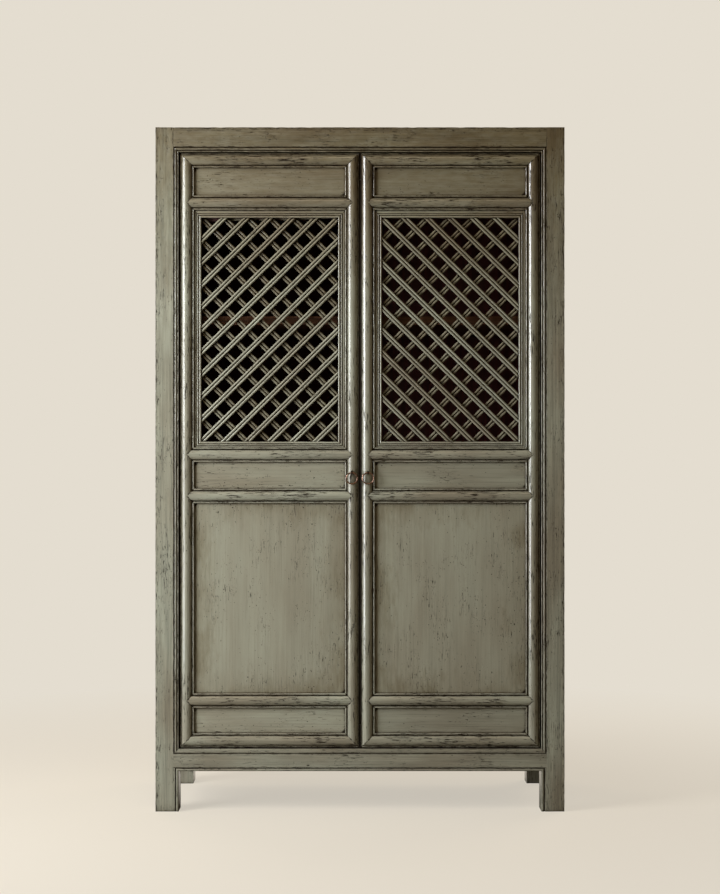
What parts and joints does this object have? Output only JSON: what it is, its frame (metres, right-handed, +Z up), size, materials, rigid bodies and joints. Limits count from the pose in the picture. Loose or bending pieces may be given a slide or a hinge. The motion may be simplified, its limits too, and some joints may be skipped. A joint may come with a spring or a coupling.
{
  "type": "book cabinet",
  "caption": "Tall two-door cabinet of mitred frame-and-panel joinery, with crossed lattice lights above waist and lower panels, pivot-hung doors, ring pulls and inner shelves.",
  "frame": {"origin": "on the floor, in the middle of the four feet", "axes": "+X to the right as the doors are faced, +Y to the back, +Z up"},
  "size_m": [1.1, 0.4901, 1.84],
  "materials": {
    "sage_painted_wood": "aged sage green paint under a brown glaze, rubbed satin, worn at the edges",
    "red_lacquered_wood": "old dark red lacquer inside, dull",
    "shelf_wood": "oiled softwood with a worn front edge",
    "aged_brass": "handled brass, dark in the hollows"
  },
  "bodies": {
    "carcass": {"back_left_post": "sage_painted_wood", "back_lower_panel": "red_lacquered_wood", "back_middle_rail": "red_lacquered_wood", "back_right_post": "sage_painted_wood", "back_upper_panel": "red_lacquered_wood", "bottom_back_rail": "sage_painted_wood", "bottom_front_rail": "sage_painted_wood", "bottom_left_rail": "sage_painted_wood", "bottom_right_rail": "sage_painted_wood", "door_stops": "red_lacquered_wood", "floor_board": "red_lacquered_wood", "front_left_post": "sage_painted_wood", "front_right_post": "sage_painted_wood", "left_side_panel": "sage_painted_wood", "lower_shelf": "shelf_wood", "middle_shelf": "shelf_wood", "right_side_panel": "sage_painted_wood", "shelf_bearers": "red_lacquered_wood", "top_back_rail": "sage_painted_wood", "top_battens": "red_lacquered_wood", "top_board": "red_lacquered_wood", "top_front_rail": "sage_painted_wood", "top_left_rail": "sage_painted_wood", "top_right_rail": "sage_painted_wood", "upper_shelf": "shelf_wood"},
    "left_door": {"left_base_panel": "sage_painted_wood", "left_base_rail": "sage_painted_wood", "left_bottom_rail": "sage_painted_wood", "left_frieze_panel": "sage_painted_wood", "left_frieze_rail": "sage_painted_wood", "left_lattice_back_bars": "sage_painted_wood", "left_lattice_frame": "sage_painted_wood", "left_lattice_front_bars": "sage_painted_wood", "left_lower_waist_rail": "sage_painted_wood", "left_main_panel": "sage_painted_wood", "left_meeting_stile": "sage_painted_wood", "left_outer_stile": "sage_painted_wood", "left_pull_staple": "aged_brass", "left_top_rail": "sage_painted_wood", "left_upper_waist_rail": "sage_painted_wood", "left_waist_panel": "sage_painted_wood"},
    "right_door": {"right_base_panel": "sage_painted_wood", "right_base_rail": "sage_painted_wood", "right_bottom_rail": "sage_painted_wood", "right_frieze_panel": "sage_painted_wood", "right_frieze_rail": "sage_painted_wood", "right_lattice_back_bars": "sage_painted_wood", "right_lattice_frame": "sage_painted_wood", "right_lattice_front_bars": "sage_painted_wood", "right_lower_waist_rail": "sage_painted_wood", "right_main_panel": "sage_painted_wood", "right_meeting_stile": "sage_painted_wood", "right_outer_stile": "sage_painted_wood", "right_pull_staple": "aged_brass", "right_top_rail": "sage_painted_wood", "right_upper_waist_rail": "sage_painted_wood", "right_waist_panel": "sage_painted_wood"},
    "left_ring": {"left_pull_ring": "aged_brass"},
    "right_ring": {"right_pull_ring": "aged_brass"}
  },
  "joints": [
    {"name": "left_door_hinge", "type": "hinge", "parent": "carcass", "child": "left_door", "pos_m": [-0.467, -0.221, 0.97], "axis": [0, 0, -1], "range_deg": [0, 100]},
    {"name": "left_ring_swing", "type": "hinge", "parent": "left_door", "child": "left_ring", "pos_m": [-0.02175, -0.2448, 0.9111], "axis": [-1, 0, 0], "range_deg": [0, 150]},
    {"name": "right_door_hinge", "type": "hinge", "parent": "carcass", "child": "right_door", "pos_m": [0.467, -0.221, 0.97], "axis": [0, 0, 1], "range_deg": [0, 100]},
    {"name": "right_ring_swing", "type": "hinge", "parent": "right_door", "child": "right_ring", "pos_m": [0.02175, -0.2448, 0.9111], "axis": [-1, 0, 0], "range_deg": [0, 150]}
  ]
}
